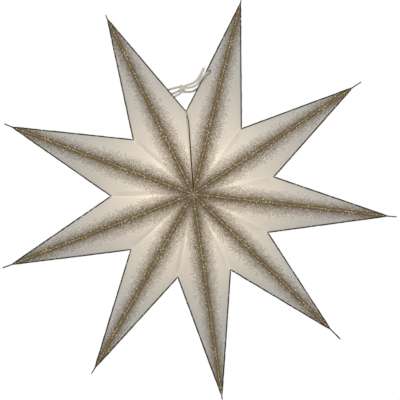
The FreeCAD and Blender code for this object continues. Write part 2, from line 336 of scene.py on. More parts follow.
def fray(name, line, seed):
    """The loose fibres at a string's cut end, each a thin bent cone."""
    draw = np.random.default_rng(seed)
    end = line[-1]
    ahead = unit(line[-1] - line[-6])
    right = unit(np.cross(ahead, (0.2, 1.0, 0.3)))
    up = np.cross(ahead, right)
    vertices = []
    faces = []
    for _ in range(FIBRES):
        angle = draw.uniform(0, 2 * math.pi)
        start = draw.uniform(0.1, 0.42) * STRING
        spread = draw.uniform(0.1, 0.75)
        reach = draw.uniform(1.2, 3.0) * MM
        curl = draw.uniform(-0.6, 0.6)
        outward = math.cos(angle) * right + math.sin(angle) * up
        sideways = np.cross(ahead, outward)
        first = len(vertices)
        for n in range(FIBRE_RINGS):
            share = n / (FIBRE_RINGS - 1)
            middle = end + outward * start - ahead * FIBRE_ROOT
            middle = middle + ahead * reach * share
            middle = middle + outward * reach * spread * share**1.5
            middle = middle + sideways * reach * curl * share**2
            size = FIBRE_RADIUS * (1.0 - 0.7 * share)
            for k in range(FIBRE_SIDES):
                turn = 2 * math.pi * k / FIBRE_SIDES
                around = math.cos(turn) * outward + math.sin(turn) * sideways
                vertices.append(middle + size * around)
        faces += tube_faces(first, FIBRE_RINGS, FIBRE_SIDES)
    return add_object(name, vertices, faces, FIBRE_SHARP)


left_fray = fray("string_left_fray", paths["left_tail"], 21)
right_fray = fray("string_right_fray", paths["right_tail"], 22)


# ---------------- knots

DRAWN_TIGHT = 0.98  # how much of its width the string keeps in a knot


def add_knot(name, node, strands, seed, buried=None):
    """A knot from twisted strands about its CAD node's middle, as one mesh. buried is the
    number of the strand whose last end is inside the knot."""
    low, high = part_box(node)
    centre = (np.array(low) + np.array(high)) / 2
    parts = []
    for n, strand in enumerate(strands):
        line = centreline([
            tuple(c / MM + s for c, s in zip(centre, place)) for place in strand
        ])
        part, _ = twisted(
            f"{name}_{n}", line, STRING * DRAWN_TIGHT, seed + n, buried=(n == buried)
        )
        parts.append(part)
    mesh = bmesh.new()
    for part in parts:
        mesh.from_mesh(part.data)
    joined = bpy.data.meshes.new(name)
    mesh.to_mesh(joined)
    mesh.free()
    for part in parts:
        data = part.data
        bpy.data.objects.remove(part)
        bpy.data.meshes.remove(data)
    joined.shade_smooth()
    joined.set_sharp_from_angle(angle=STRING_SHARP)
    return new_object(name, joined)


# A reef knot: two bights, each round the other, drawn up tight, in millimetres from the
# knot's middle.
REEF_STRANDS = (
    (
        (-5.6, 0.3, 3.7), (-3.6, -1.0, 4.1), (-1.2, -2.5, 3.0), (1.0, -2.9, 0.4),
        (2.8, -1.6, -2.4), (3.7, 0.9, -2.8), (2.8, 2.7, -1.2), (0.4, 2.9, 1.2),
        (-1.8, 2.0, 1.6), (-3.4, 0.9, -0.8), (-5.6, 0.9, -2.2),
    ),
    (
        (6.2, -1.4, 5.8), (4.2, -0.6, 4.9), (1.8, 1.2, 3.4), (-0.8, 2.8, -0.6),
        (-2.6, 1.8, -3.6), (-3.4, -0.7, -3.4), (-2.0, -2.8, -1.4), (0.4, -2.6, 1.6),
        (2.6, -1.8, 2.6), (4.4, -1.6, 2.0), (6.7, -1.8, 1.8),
    ),
    (
        (0.2, -2.9, 4.4), (-1.6, -1.8, 5.3), (-2.6, 0.4, 4.4), (-2.4, -1.6, 1.0),
        (-0.8, -3.3, -2.0), (-1.2, -1.8, -4.6), (-3.5, -0.1, -6.2),
    ),
    (
        (6.2, 1.3, -3.6), (4.2, 0.2, -4.0), (1.8, -1.4, -4.4), (-0.6, -1.6, -3.2),
        (-2.2, 0.4, -1.0),
    ),
)
reef_knot = add_knot("string_knot", "reef_knot", REEF_STRANDS, 31, buried=3)

# An overhand knot, small and round.
STOPPER_STRANDS = (
    (
        (-0.6, 0.4, 1.2), (-1.9, -0.9, 0.4), (-0.8, -2.0, -1.3), (1.1, -1.2, -1.9),
        (2.0, 0.6, -0.4), (1.0, 1.8, 1.3), (-0.9, 1.4, 1.8), (-1.9, -0.2, 0.6),
        (-0.5, -2.0, 0.6), (1.2, -1.6, 0.9), (1.0, 0.6, -1.4),
    ),
)
stopper = add_knot("string_stopper", "stopper_knot", STOPPER_STRANDS, 41)


# ---------------- what the CAD sheets say


def vertices_of(node):
    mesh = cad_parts[node].data
    found = np.empty(len(mesh.vertices) * 3)
    mesh.vertices.foreach_get("co", found)
    return found.reshape(-1, 3)


AT_END = 0.2 * MM  # how near the outermost vertex the tail's end is looked for
IN_PLANE = 0.01 * MM  # how near the middle plane or the ridge a vertex counts as on it
OFF_RIDGE = 10 * MM
OUTSIDE = 0.3 * MM  # how much further out than the notch the rim's own corner is


class Outline:
    """The corners of one point's front sheet, in the point's own frame.

    across is X there, y is the depth, and the ridge rises along Z. The notches are kept
    for each side, 1 on the right and -1 on the left, with their X counted outwards.
    """

    def __init__(self, k):
        places = vertices_of(f"front_sheet_{k}")
        radius = np.hypot(places[:, 0], places[:, 2])
        end = places[radius > radius.max() - AT_END].mean(axis=0)
        self.up = unit((end[0], 0.0, end[2]))
        self.across = np.array((self.up[2], 0.0, -self.up[0]))
        x = places @ self.across
        z = places @ self.up
        y = places[:, 1]
        self.paper = y.max() - y[(np.abs(x) > 5 * MM) & (y > -2 * MM)].min()
        foremost = y.argmin()
        self.apex = np.array((0.0, y[foremost] + self.paper, z[foremost]))
        level = np.abs(y - y.max()) < IN_PLANE
        self.notch = {}
        self.notch_out = {}
        for side in SIDES:
            wide = level & (x * side > OFF_RIDGE)
            inner = np.where(wide)[0][radius[wide].argmin()]
            self.notch[side] = np.array((abs(x[inner]), 0.0, z[inner]))
            turn = np.arctan2(np.abs(x), z) - math.atan2(abs(x[inner]), z[inner])
            near = wide & (np.abs(turn) < 0.01) & (radius > radius[inner] + OUTSIDE)
            outer = np.where(near)[0][radius[near].argmin()]
            self.notch_out[side] = np.array((abs(x[outer]), 0.0, z[outer]))
        self.end = z.max()
        self.tail_half = np.abs(x[z > z.max() - AT_END]).max()
        middle = level & (np.abs(x) < IN_PLANE) & (z < self.end - 1 * MM)
        self.tip = np.array((0.0, 0.0, z[middle].min()))

    def world(self, place):
        return self.across * place[0] + np.array((0.0, place[1], 0.0)) + self.up * place[2]


outlines = {k: Outline(k) for k in POINTS}


# ---------------- paper sheets

ROWS = 56
COLUMNS = (0.0, 0.03, 0.07, 0.13, 0.2, 0.29, 0.39, 0.5, 0.61, 0.72, 0.82, 0.9, 0.96, 1.0)
TAIL_STEPS = 8
RIDGE_ROUND = 0.22 * MM
BELLY = 0.7 * MM
RIPPLE = 0.35 * MM
RIPPLES = 3
RIM_SHOWS = 1.2  # the glued rims look this much wider than the cut ones
RIM_WORN = 0.12
# A rim is plain bronze, so its place on the sheet only has to be far from the ridge.
RIM_ON_SHEET = {side: (side * 0.02, 0.1, 0.05) for side in SIDES}
TAIL_BEND = 0.7  # millimetres
TAIL_NARROWS = 0.35
PAPER_SHARP = math.radians(28)
SEAM_CLOSING = 0.6 * MM  # how far the loose edges at the seam lean together at the notch
SEAM_LIFT = 0.3 * MM  # how far the last sheet's edge stands off between apex and notch
SEAM_CLOSING_POWER = 6  # how closely these two keep to the sheet's edge
SEAM_LIFT_POWER = 10
SEAM_FADE = 0.08  # the share of the ridge in which that ends, beyond the notch


def belly(a, b, waves):
    """How far the paper bulges from its plane: most in mid-face, nothing at its creases."""
    free = (b * (1.0 - b) * 4.0) ** 0.8 * np.sin(math.pi * a) ** 0.7
    ripple = sum(
        size * math.sin(2 * math.pi * (fa * a + fb * b) + phase)
        for size, fa, fb, phase in waves
    )
    return free * (BELLY + RIPPLE * ripple)


def wavy(draw):
    """Ripples for one face: each has a size, two frequencies and a phase."""
    ranges = ((0.3, 1.0), (0.5, 2.6), (0.0, 1.2), (0.0, 6.28))
    return [tuple(draw.uniform(*limits) for limits in ranges) for _ in range(RIPPLES)]


def half_surface(outline, side, k, draw):
    """Rows of one half: each row's places run from the ridge to the outer edge.

    Returns rows of (place, distance from ridge, distance along the ridge, distance from
    the valley edge), and the number of the row that ends at the notch. The places are in
    the point's own frame, with X counted outwards.
    """
    apex = outline.apex
    tip = outline.tip
    notch = outline.notch[side]
    ridge = tip - apex
    ridge_length = np.linalg.norm(ridge)
    along = ridge / ridge_length
    to_notch = notch - apex
    reach = float(to_notch @ along)
    width = float(np.linalg.norm(to_notch - along * reach))
    out = (to_notch - along * reach) / width
    normal = unit(np.cross(out, along))
    if normal[1] > 0:
        normal = -normal
    share = reach / ridge_length
    knee = int(round(ROWS * share))
    stations = np.concatenate([
        np.linspace(0.0, share, knee + 1)[:-1], np.linspace(share, 1.0, ROWS - knee + 1)
    ])
    waves = wavy(draw)
    seam = (k == LAST and side > 0) or (k == 1 and side < 0)
    rows = []
    for a in stations:
        y = a * ridge_length
        edge = width * (y / reach if a <= share else (ridge_length - y) / (ridge_length - reach))
        row = []
        for b in COLUMNS:
            x = b * edge
            place = apex + along * y + out * x + normal * belly(a, b, waves)
            if b == 0.0:
                place = place - normal * RIDGE_ROUND
            if seam:
                t = a / share if a <= share else max(0.0, 1.0 - (a - share) / SEAM_FADE)
                place = place + np.array((SEAM_CLOSING * t * t * b**SEAM_CLOSING_POWER, 0.0, 0.0))
                if k == LAST and a <= share:
                    place = place + normal * SEAM_LIFT * b**SEAM_LIFT_POWER * math.sin(math.pi * t)
            from_valley = abs(x * reach - y * width) / math.hypot(width, reach)
            row.append((place, x, y, from_valley))
        rows.append(row)
    return rows, knee


class Surface:
    """The inner face of one sheet as it grows, in the point's own frame."""

    def __init__(self):
        self.places = []
        self.on_sheet = []
        self.faces = []
        self.marks = []

    def put(self, place, on_sheet):
        self.places.append(np.asarray(place, float))
        self.on_sheet.append(on_sheet)
        return len(self.places) - 1

    def cover(self, corners, mark):
        self.faces.append(corners)
        self.marks.append(mark)


def add_half(surface, outline, side, k, draw, ridge_ids):
    """One printed half. Returns the vertices of its outer edge, from notch to tip."""
    rows, knee = half_surface(outline, side, k, draw)
    ids = []
    for n, row in enumerate(rows):
        line = []
        for m, (place, x, y, from_valley) in enumerate(row):
            if m > 0 and n in (0, ROWS):
                line.append(line[0])  # these rows are single points
            elif m == 0 and n in ridge_ids:
                line.append(ridge_ids[n])
            else:
                line.append(surface.put(place * (side, 1.0, 1.0), (side * x, y, from_valley)))
                if m == 0:
                    ridge_ids[n] = line[0]
        ids.append(line)
    for low, high in zip(ids, ids[1:]):
        for m in range(len(COLUMNS) - 1):
            corners = [low[m], low[m + 1], high[m + 1], high[m]]
            kept = [c for c, after in zip(corners, corners[1:] + corners[:1]) if c != after]
            surface.cover(kept if side > 0 else kept[::-1], PRINTED)
    return [line[-1] for line in ids[knee:]]


def add_rim(surface, outline, side, inner, draw):
    """The glued rim along one outer edge, in the plane between front and back.

    Returns its last vertex and the height at which it meets the tail.
    """
    tip = outline.tip
    notch = outline.notch[side]
    run = unit(tip - notch)
    away = np.array((run[2], 0.0, -run[0]))
    width = abs(float((outline.notch_out[side] - notch) @ away))
    joint = tip[2] + (width - outline.tail_half * run[2]) / -run[0]
    last = len(inner) - 1
    outer = []
    for n, vertex in enumerate(inner):
        if n == 0:
            place = outline.notch_out[side] + (surface.places[vertex] * (side, 1.0, 1.0) - notch)
        elif n == last:
            place = np.array((outline.tail_half, 0.0, joint))
        else:
            worn = 1.0 + draw.uniform(-RIM_WORN, RIM_WORN)
            place = notch + (tip - notch) * (n / last) + away * width * RIM_SHOWS * worn
            place[0] = max(place[0], outline.tail_half)
        outer.append(surface.put(place * (side, 1.0, 1.0), RIM_ON_SHEET[side]))
    for n in range(last):
        corners = [inner[n], outer[n], outer[n + 1], inner[n + 1]]
        surface.cover(corners if side > 0 else corners[::-1], RIM)
    return outer[-1], joint


def add_tail(surface, outline, start, left, right, centre, draw):
    """The tail past the tip narrows and wavers a little towards its end."""
    bend = draw.uniform(-TAIL_BEND, TAIL_BEND) * MM
    for n in range(1, TAIL_STEPS + 1):
        share = n / TAIL_STEPS
        z = start + (outline.end - start) * share
        half = outline.tail_half * (1.0 - TAIL_NARROWS * share)
        ends = [
            surface.put((bend * share**2 + side * half, 0.0, z), RIM_ON_SHEET[side])
            for side in (-1, 1)
        ]
        if n == 1:
            surface.cover([centre, right, ends[1], ends[0], left], RIM)
        else:
            surface.cover([left, right, ends[1], ends[0]], RIM)
        left, right = ends


def add_paper(k, front):
    """One folded sheet of printed paper, with its glued rims and its tail."""
    outline = outlines[k]
    draw = np.random.default_rng(100 * k + (1 if front else 2))
    surface = Surface()
    ridge_ids = {}
    edges = {side: add_half(surface, outline, side, k, draw, ridge_ids) for side in SIDES}
    rims = {side: add_rim(surface, outline, side, edges[side], draw) for side in SIDES}
    start = max(joint for _, joint in rims.values())
    add_tail(surface, outline, start, rims[-1][0], rims[1][0], ridge_ids[ROWS], draw)

    thick = np.array((0.0, outline.paper, 0.0))
    outer = [outline.world(place) - thick for place in surface.places]
    vertices, faces, marks = thickened(outer, surface.faces, surface.marks, thick)
    vertices = np.array(vertices)
    if not front:
        vertices[:, 1] *= -1
        faces = [face[::-1] for face in faces]
    name = f"paper_{'front' if front else 'back'}_{k}"
    made = add_object(name, vertices, faces, PAPER_SHARP)
    made.data.polygons.foreach_set("material_index", np.array(marks, np.int32))
    store_vectors(made.data, "on_sheet", surface.on_sheet * 2)
    face_outwards(made.data)
    return made


def punch(piece, hole):
    """Cuts a round hole that the tie goes through."""
    bpy.ops.mesh.primitive_cylinder_add(
        vertices=40, radius=HOLE / 2, depth=0.2, location=(hole[0], 0.0, hole[1]),
        rotation=(math.pi / 2, 0.0, 0.0),
    )
    cutter = bpy.context.object
    change = piece.modifiers.new("hole", "BOOLEAN")
    change.operation = "DIFFERENCE"
    change.solver = "EXACT"
    change.object = cutter
    evaluated = piece.evaluated_get(bpy.context.evaluated_depsgraph_get())
    cut = bpy.data.meshes.new_from_object(evaluated)
    piece.modifiers.clear()
    before = piece.data
    piece.data = cut
    cut.name = before.name
    bpy.data.objects.remove(cutter)


papers = {}
for k in POINTS:
    papers[(k, True)] = add_paper(k, True)
    papers[(k, False)] = add_paper(k, False)
punch(papers[(1, True)], FIRST_HOLE)
punch(papers[(1, False)], FIRST_HOLE)
punch(papers[(LAST, False)], LAST_HOLE)
punch(papers[(LAST, False)], LOW_HOLE)


# ---------------- glue flanges

FLANGE_STEPS = 26
FLANGE_COLUMNS = 9
FLANGE_WANDERS = 9
FLANGE_WANDER = (-0.25, 0.15)  # in millimetres
FLANGE_INSET = 0.1 * MM  # how much narrower it is than its node, so that it can wander
FLANGE_CLEAR = 0.02 * MM  # between it and the sheet that it is glued to
SEAM_REACH = 5.2 * MM  # how much nearer the notch the loose flange comes at the valley edge


def add_flange(node, name, over, front):
    """A flange inside the left half of the point called over. node is always its front
    one, and the back one mirrors it."""
    outline = outlines[over]
    places = vertices_of(node)
    local = np.stack([-(places @ outline.across), places[:, 1], places @ outline.up], axis=1)
    apex, notch, tip = outline.apex, outline.notch[-1], outline.tip
    valley = unit(notch - apex)
    normal = unit(np.cross(tip - apex, notch - apex))
    if normal[1] > 0:
        normal = -normal
    inward = np.cross(normal, valley)
    if inward @ (tip - apex) < 0:
        inward = -inward
    at = (local - apex) @ valley
    deep = (local - apex) @ inward
    near = deep < deep.mean()
    spans = [(at[near].min(), at[near].max()), (at[~near].min(), at[~near].max())]
    first = deep[near].mean()
    width = deep.max() - first - FLANGE_INSET
    clearance = max(0.0, -((local - apex) @ normal).max())
    draw = np.random.default_rng(500 + over + (0 if front else 50))
    wander = np.interp(
        np.linspace(0, 1, FLANGE_STEPS + 1), np.linspace(0, 1, FLANGE_WANDERS),
        draw.uniform(*FLANGE_WANDER, FLANGE_WANDERS),
    )
    vertices = []
    faces = []
    for n in range(FLANGE_STEPS + 1):
        share = n / FLANGE_STEPS
        for m in range(FLANGE_COLUMNS + 1):
            depth = m / FLANGE_COLUMNS
            start = spans[0][0] + (spans[1][0] - spans[0][0]) * depth
            end = spans[0][1] + (spans[1][1] - spans[0][1]) * depth
            into = first + (width + wander[n] * MM) * depth
            further = SEAM_REACH * min(1.0, (into - first) / -first) if over == 1 else 0.0
            reach = start + (end + further - start) * share
            place = apex + valley * reach + inward * into - normal * clearance
            vertices.append(outline.world(place * np.array((-1.0, 1.0, 1.0))))
    for n in range(FLANGE_STEPS):
        for m in range(FLANGE_COLUMNS):
            low = n * (FLANGE_COLUMNS + 1) + m
            high = low + FLANGE_COLUMNS + 1
            faces.append([low, low + 1, high + 1, high])
    clear = np.array((0.0, FLANGE_CLEAR, 0.0))
    thick = np.array((0.0, outline.paper - FLANGE_CLEAR, 0.0))
    vertices = [place + clear for place in vertices]
    vertices, faces, _ = thickened(vertices, faces, [PLAIN] * len(faces), thick)
    vertices = np.array(vertices)
    if not front:
        vertices[:, 1] *= -1
    made = add_object(name, vertices, faces)
    face_outwards(made.data)
    return made


flanges = []  # the piece, its CAD node and the point that it belongs to
for front in (True, False):
    face = "front" if front else "back"
    for k in range(1, LAST):
        made = add_flange(f"glue_flange_front_{k}", f"flange_{face}_{k}", k + 1, front)
        flanges.append((made, f"glue_flange_{face}_{k}", k + 1))
    made = add_flange("seam_flange_front", f"flange_{face}_seam", 1, front)
    flanges.append((made, f"seam_flange_{face}", LAST))


# ---------------- materials


def new_tree(name):
    made = bpy.data.materials.new(name)
    made.use_nodes = True
    made.node_tree.nodes.clear()
    return made, made.node_tree


def put_node(tree, kind, inputs=None, **settings):
    node = tree.nodes.new(kind)
    for name, value in settings.items():
        setattr(node, name, value)
    for name, value in (inputs or {}).items():
        if isinstance(value, bpy.types.NodeSocket):
            tree.links.new(value, node.inputs[name])
        else:
            node.inputs[name].default_value = value
    return node


def calc(tree, operation, *values, clamp=False):
    inputs = dict(enumerate(values))
    return put_node(tree, "ShaderNodeMath", inputs, operation=operation, use_clamp=clamp).outputs[0]


def times(tree, *values, clamp=False):
    return calc(tree, "MULTIPLY", *values, clamp=clamp)


def vector_calc(tree, operation, *values):
    inputs = dict(enumerate(values))
    made = put_node(tree, "ShaderNodeVectorMath", inputs, operation=operation)
    return made.outputs["Value" if operation == "LENGTH" else "Vector"]


def part_of(tree, vector, letter):
    return put_node(tree, "ShaderNodeSeparateXYZ", {"Vector": vector}).outputs[letter]


def stretched(tree, vector, turn, scale):
    return put_node(
        tree, "ShaderNodeMapping",
        {"Vector": vector, "Rotation": (0.0, 0.0, turn), "Scale": (*scale, 1.0)},
    ).outputs[0]


def noise(tree, vector, scale, detail=2.0, roughness=0.5, dimensions="3D"):
    return put_node(
        tree, "ShaderNodeTexNoise",
        {"Vector": vector, "Scale": scale, "Detail": detail, "Roughness": roughness},
        noise_dimensions=dimensions,
    ).outputs["Fac"]


def flecks_of(tree, vector, scale, dimensions):
    """The distance from the nearest fleck's middle, and a number from 0 to 1 for each fleck."""
    made = put_node(
        tree, "ShaderNodeTexVoronoi", {"Vector": vector, "Scale": scale, "Randomness": 1.0},
        voronoi_dimensions=dimensions, feature="F1",
    )
    return made.outputs["Distance"], part_of(tree, made.outputs["Color"], "X")


def bumped(tree, height, strength, distance):
    inputs = {"Height": height, "Strength": strength, "Distance": distance}
    return put_node(tree, "ShaderNodeBump", inputs).outputs["Normal"]


def object_place(tree):
    return put_node(tree, "ShaderNodeTexCoord").outputs["Object"]


def stored_vector(tree, name):
    return put_node(tree, "ShaderNodeAttribute", attribute_name=name).outputs["Vector"]


def translucent(tree, colour):
    return put_node(tree, "ShaderNodeBsdfTranslucent", {"Color": colour}).outputs[0]


def principled(tree, inputs):
    return put_node(tree, "ShaderNodeBsdfPrincipled", inputs).outputs[0]


def blended(tree, share, first, second):
    return put_node(tree, "ShaderNodeMixShader", {0: share, 1: first, 2: second}).outputs[0]


def finished(tree, surface):
    put_node(tree, "ShaderNodeOutputMaterial", {"Surface": surface})


def ramped(tree, value, low, high, to_low=0.0, to_high=1.0):
    node = put_node(
        tree, "ShaderNodeMapRange",
        {"Value": value, "From Min": low, "From Max": high, "To Min": to_low, "To Max": to_high},
        interpolation_type="SMOOTHSTEP",
    )
    return node.outputs["Result"]


def mixed(tree, share, first, second):
    """A colour from first to second. Each is a socket or a plain colour."""
    colours = [(*c, 1.0) if isinstance(c, tuple) else c for c in (first, second)]
    return put_node(
        tree, "ShaderNodeMix", {0: share, 6: colours[0], 7: colours[1]}, data_type="RGBA"
    ).outputs[2]


CREAM = (0.83, 0.79, 0.725)
CREAM_DULL = (0.80, 0.755, 0.685)
CREAM_SHADED_TIPS = (0.63, 0.615, 0.585)  # painted shade: darker and greyer towards the tips, where less light reaches
CREAM_VALLEY_HIGHLIGHT = (0.93, 0.90, 0.83)  # painted highlight beside the valleys
CREAM_THROUGH = (0.87, 0.82, 0.73)  # for light that comes through
BRONZE = (0.156, 0.096, 0.030)
BRONZE_DARK = (0.098, 0.061, 0.018)
GOLD = (0.38, 0.305, 0.17)
GLITTER = (0.85, 0.76, 0.52)
RIM_DARK = (0.018, 0.015, 0.009)
RIM_LIGHT = (0.050, 0.040, 0.024)
RIM_PALE = (0.30, 0.26, 0.19)  # where it is worn
RIM_GLITTER = (0.78, 0.74, 0.64)
COTTON_DARK = (0.44, 0.41, 0.35)
COTTON_LIGHT = (0.70, 0.66, 0.58)
COTTON_SOILED = (0.46, 0.43, 0.34)
DOT_PITCH = 1.8 * MM
DOT_JITTER = 0.08  # how far a dot may lie off its grid, in pitches
DOT_EDGE = 0.09  # half the width of its soft edge, in pitches
DOTS_AT_RIDGE = 0.86  # the share of the paper that they cover there
LEAST_DOT = 0.27  # the share of its cell that the smallest dot covers
THIN_SPREAD = 1.5  # how unlike each other the dots are where they are sparse, and where dense
DENSE_SPREAD = 0.45
BAND_WIDTH_IN = 17.0 * MM  # how far out they fade, near the centre and near the tip
BAND_WIDTH_OUT = 11.2 * MM
BAND_NARROWS = (85 * MM, 200 * MM)
BAND_POWER = 1.92
BAND_END = 30 * MM
LINE_HALF = 0.45 * MM
# The seam's dark line: partly bronze edge print, partly painted shadow of the gap.
SEAM_INK_AND_SHADOW = (0.055, 0.042, 0.010)
SEAM_LINE_END = 128 * MM
MIDTONES = (0.3, 0.7)  # most of what a noise texture gives lies between these


def coverage(tree, distance, along, drift):
    """How much of the paper the dots cover, falling away from the ridge."""
    band = ramped(tree, along, *BAND_NARROWS, BAND_WIDTH_IN, BAND_WIDTH_OUT)
    width = times(tree, band, ramped(tree, drift, 0.25, 0.75, 0.9, 1.1))
    fall = calc(tree, "POWER", calc(tree, "DIVIDE", distance, width), BAND_POWER)
    inked = calc(tree, "EXPONENT", times(tree, fall, -1.0))
    most = ramped(tree, distance, BAND_END * 0.7, BAND_END, DOTS_AT_RIDGE, 0.0)
    return times(tree, inked, most)


def printed_dots(tree, flat, cover):
    """Dots on a diagonal grid, larger where they cover more, none of them quite alike."""
    grid = stretched(tree, flat, math.pi / 4, (1 / DOT_PITCH, 1 / DOT_PITCH))
    cell = vector_calc(tree, "FLOOR", grid)
    chance = put_node(
        tree, "ShaderNodeTexWhiteNoise", {"Vector": cell}, noise_dimensions="2D"
    ).outputs
    within = vector_calc(tree, "FRACTION", grid)
    centred = vector_calc(tree, "SUBTRACT", within, (0.5, 0.5, 0.0))
    jitter = vector_calc(
        tree, "MULTIPLY_ADD", chance["Color"], (2 * DOT_JITTER, 2 * DOT_JITTER, 0.0),
        (-DOT_JITTER, -DOT_JITTER, 0.0),
    )
    reach = vector_calc(tree, "LENGTH", vector_calc(tree, "ADD", centred, jitter))
    spread = ramped(tree, cover, 0.25, 0.7, THIN_SPREAD, DENSE_SPREAD)
    off_mean = calc(tree, "SUBTRACT", chance["Value"], 0.5)
    uneven = calc(tree, "MULTIPLY_ADD", off_mean, spread, 1.0)
    area = calc(tree, "MAXIMUM", times(tree, cover, uneven), LEAST_DOT)
    drawn = part_of(tree, chance["Color"], "Z")
    there = calc(tree, "LESS_THAN", drawn, calc(tree, "DIVIDE", cover, LEAST_DOT))
    radius = times(tree, calc(tree, "POWER", area, 0.5), 1 / math.sqrt(math.pi))
    overlap = ramped(tree, cover, 0.6, 0.9, 1.0, 1.12)  # round dots have to overlap there
    gap = calc(tree, "SUBTRACT", reach, times(tree, radius, overlap))
    return times(tree, ramped(tree, gap, -DOT_EDGE, DOT_EDGE, 1.0, 0.0), there)


def glitter(tree, flat, cover, on_line):
    """Flecks on the gold line, and here and there in the bronze."""
    off, chance = flecks_of(tree, flat, 480.0, "2D")
    near = ramped(tree, off, 0.25, 0.5, 1.0, 0.0)
    in_gold = times(tree, calc(tree, "GREATER_THAN", chance, 0.62), on_line)
    rare = calc(tree, "MULTIPLY_ADD", cover, -0.07, 1.0)
    in_bronze = times(
        tree, calc(tree, "GREATER_THAN", chance, rare), ramped(tree, cover, 0.1, 0.5)
    )
    return times(tree, calc(tree, "MAXIMUM", in_gold, in_bronze), near, clamp=True)


def bare_paper(tree, flat, along, from_valley, fibres):
    """Cream that wanders a little, with painted shade towards the tips and a painted highlight
    beside the valleys.
    """
    clouds = noise(tree, flat, 28.0, 4.0, 0.55, "2D")
    tone = calc(tree, "MULTIPLY_ADD", fibres, 0.35, times(tree, clouds, 0.65))
    paper = mixed(tree, ramped(tree, tone, *MIDTONES), CREAM_DULL, CREAM)
    # painted shade: the cream darkens and greys towards the tips
    paper = mixed(tree, ramped(tree, along, 90 * MM, 215 * MM, 0.0, 0.9), paper, CREAM_SHADED_TIPS)
    # painted highlight: paler cream beside the valleys
    valley_highlight = ramped(tree, from_valley, 1.0 * MM, 6.5 * MM, 0.55, 0.0)
    return mixed(tree, valley_highlight, paper, CREAM_VALLEY_HIGHLIGHT)


def seam_ink_and_shadow(tree, along, from_valley, on_left):
    """The dark line beside the seam, where the first sheet goes under the last one: bronze edge
    print, darkened further by painted shadow of the gap.
    """
    middle = ramped(tree, along, 20 * MM, 115 * MM, 0.9 * MM, 2.3 * MM)
    back = ramped(tree, along, 106 * MM, 124 * MM, 0.0, 2 * MM)
    middle = calc(tree, "SUBTRACT", middle, back)
    off = calc(tree, "ABSOLUTE", calc(tree, "SUBTRACT", from_valley, middle))
    half = ramped(tree, along, 20 * MM, 100 * MM, 1.4 * MM, 1.0 * MM)
    line = times(tree, calc(tree, "LESS_THAN", off, half), on_left)
    return times(tree, line, calc(tree, "LESS_THAN", along, SEAM_LINE_END))


def printed_paper(first_sheet):
    """The sheets' outside. The first sheet has no flange glued under its left edge, which
    lies loose and has a dark line beside it, partly bronze edge print and partly painted shadow."""
    material, tree = new_tree("printed_paper_seam" if first_sheet else "printed_paper")
    place = stored_vector(tree, "on_sheet")
    across, along, from_valley = (part_of(tree, place, letter) for letter in "XYZ")
    flat = put_node(tree, "ShaderNodeCombineXYZ", {"X": across, "Y": along}).outputs[0]
    distance = calc(tree, "ABSOLUTE", across)
    on_left = calc(tree, "LESS_THAN", across, 0.0)

    drift = noise(tree, flat, 55.0, 3.0, 0.6, "2D")
    cover = coverage(tree, distance, along, drift)
    dot = printed_dots(tree, flat, cover)
    on_line = ramped(tree, distance, LINE_HALF * 0.7, LINE_HALF * 1.3, 1.0, 0.0)
    beside = times(
        tree, ramped(tree, distance, LINE_HALF, LINE_HALF * 1.8),
        ramped(tree, distance, 2.0 * MM, 5.0 * MM, 1.0, 0.0),
    )
    fleck = glitter(tree, flat, cover, on_line)

    # Bare paper, bronze ink on it, then the gold fold line and the glitter.
    fibres = noise(tree, stretched(tree, flat, 0.35, (2600.0, 420.0)), 1.0, dimensions="2D")
    paper = bare_paper(tree, flat, along, from_valley, fibres)
    ink_shade = noise(tree, flat, 700.0, dimensions="2D")
    ink = mixed(tree, ramped(tree, ink_shade, *MIDTONES), BRONZE_DARK, BRONZE)
    covered = calc(tree, "MAXIMUM", dot, times(tree, beside, 0.75))
    colour = mixed(tree, covered, paper, ink)
    broken = ramped(tree, drift, 0.35, 0.6, 0.2, 0.75)
    colour = mixed(tree, times(tree, on_line, broken), colour, GOLD)
    colour = mixed(tree, fleck, colour, GLITTER)
    if first_sheet:
        # The seam's dark line, bronze edge print with painted shadow of the gap.
        line = seam_ink_and_shadow(tree, along, from_valley, on_left)
        colour = mixed(tree, line, colour, SEAM_INK_AND_SHADOW)
        covered = calc(tree, "MAXIMUM", covered, line)

    bare = calc(tree, "SUBTRACT", 1.0, calc(tree, "MAXIMUM", covered, on_line), clamp=True)
    roughness = calc(tree, "MULTIPLY_ADD", bare, 0.16, 0.62)
    roughness = calc(tree, "SUBTRACT", roughness, times(tree, fleck, 0.22))
    height = calc(tree, "MULTIPLY_ADD", fibres, 0.25, times(tree, dot, 0.3))
    height = calc(tree, "MULTIPLY_ADD", fleck, 0.8, height)
    if not first_sheet:
        # The flange glued underneath on the left stands out as a faint step.
        raised = ramped(tree, from_valley, 5.2 * MM, 6.4 * MM, 1.0, 0.0)
        height = calc(tree, "MULTIPLY_ADD", times(tree, raised, on_left), 0.25, height)
    surface = principled(tree, {
        "Base Color": colour, "Roughness": roughness, "Metallic": times(tree, fleck, 0.4),
        "Normal": bumped(tree, height, 0.5, 0.12 * MM), "Specular IOR Level": 0.12,
    })
    shown_through = mixed(tree, times(tree, covered, 0.9), CREAM_THROUGH, BRONZE)
    share = calc(tree, "MULTIPLY_ADD", bare, 0.31, 0.03)
    finished(tree, blended(tree, share, surface, translucent(tree, shown_through)))
    return material


def plain_paper():
    """The unprinted inside of the sheets, and the flanges."""
    material, tree = new_tree("plain_paper")
    place = object_place(tree)
    clouds = noise(tree, place, 32.0, 4.0, 0.55)
    fibres = noise(tree, place, 1400.0, 3.0)
    tone = calc(tree, "MULTIPLY_ADD", fibres, 0.4, times(tree, clouds, 0.6))
    surface = principled(tree, {
        "Base Color": mixed(tree, ramped(tree, tone, *MIDTONES), CREAM_DULL, CREAM),
        "Roughness": 0.78, "Normal": bumped(tree, fibres, 0.35, 0.08 * MM),
        "Specular IOR Level": 0.2,
    })
    finished(tree, blended(tree, 0.68, surface, translucent(tree, (*CREAM_THROUGH, 1.0))))
    return material


